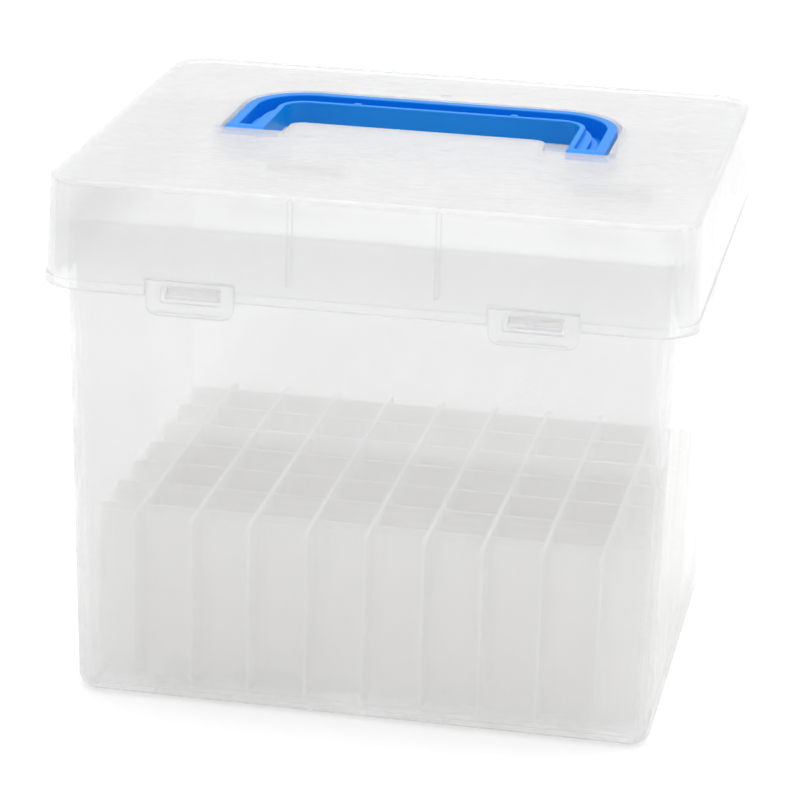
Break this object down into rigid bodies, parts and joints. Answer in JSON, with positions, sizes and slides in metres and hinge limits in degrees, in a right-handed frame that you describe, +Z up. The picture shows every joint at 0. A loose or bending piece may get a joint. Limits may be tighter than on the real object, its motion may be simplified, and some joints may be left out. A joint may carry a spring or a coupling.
{
  "type": "cryogenic storage box",
  "caption": "Tall translucent plastic carrying box with a deep-skirted hinged lid, a flush folding bail handle, front snap tongues and a lift-out crate of crossed dividers",
  "frame": {"origin": "centre of the tub's flat underside, on the surface the box stands on", "axes": "+Z up, -Y towards the front with the snap tongues, +X to the right seen from the front"},
  "size_m": [0.2232, 0.1909, 0.19],
  "materials": {
    "clear_polypropylene": "natural translucent polypropylene, faintly milky, semi-gloss moulded",
    "lid_polypropylene": "natural translucent polypropylene, milky, fine satin on the top face",
    "divider_polypropylene": "natural polypropylene sheet, satin",
    "blue_polypropylene": "opaque bright blue polypropylene, semi-gloss moulded",
    "white_nylon": "natural nylon, satin"
  },
  "bodies": {
    "tub": {"body_shell": "clear_polypropylene", "hinge_pin_left": "white_nylon", "hinge_pin_right": "white_nylon"},
    "lid": {"lid_shell": "lid_polypropylene"},
    "handle": {"handle_bail": "blue_polypropylene"},
    "tongue_left": {"latch_tongue_left": "lid_polypropylene"},
    "tongue_right": {"latch_tongue_right": "lid_polypropylene"},
    "crate": {"long_divider_1": "divider_polypropylene", "long_divider_2": "divider_polypropylene", "long_divider_3": "divider_polypropylene", "long_divider_4": "divider_polypropylene", "long_divider_5": "divider_polypropylene", "long_divider_6": "divider_polypropylene", "long_divider_7": "divider_polypropylene", "long_divider_8": "divider_polypropylene", "long_divider_9": "divider_polypropylene", "cross_divider_1": "divider_polypropylene", "cross_divider_2": "divider_polypropylene", "cross_divider_3": "divider_polypropylene", "cross_divider_4": "divider_polypropylene", "cross_divider_5": "divider_polypropylene", "cross_divider_6": "divider_polypropylene", "cross_divider_7": "divider_polypropylene"}
  },
  "joints": [
    {"name": "lid_hinge", "type": "hinge", "parent": "tub", "child": "lid", "pos_m": [0, 0.0926, 0.1484], "axis": [-1, 0, 0], "range_deg": [0, 110]},
    {"name": "handle_fold", "type": "hinge", "parent": "lid", "child": "handle", "pos_m": [0, -0.004, 0.18545], "axis": [1, 0, 0], "range_deg": [0, 90]},
    {"name": "tongue_left_flex", "type": "hinge", "parent": "lid", "child": "tongue_left", "pos_m": [-0.058, -0.0926, 0.158], "axis": [-1, 0, 0], "range_deg": [0, 18], "stiffness_Nm_per_rad": 0.15},
    {"name": "tongue_right_flex", "type": "hinge", "parent": "lid", "child": "tongue_right", "pos_m": [0.058, -0.0926, 0.158], "axis": [-1, 0, 0], "range_deg": [0, 18], "stiffness_Nm_per_rad": 0.15},
    {"name": "crate_lift", "type": "slide", "parent": "tub", "child": "crate", "axis": [0, 0, 1], "range_m": [0, 0.1]}
  ]
}
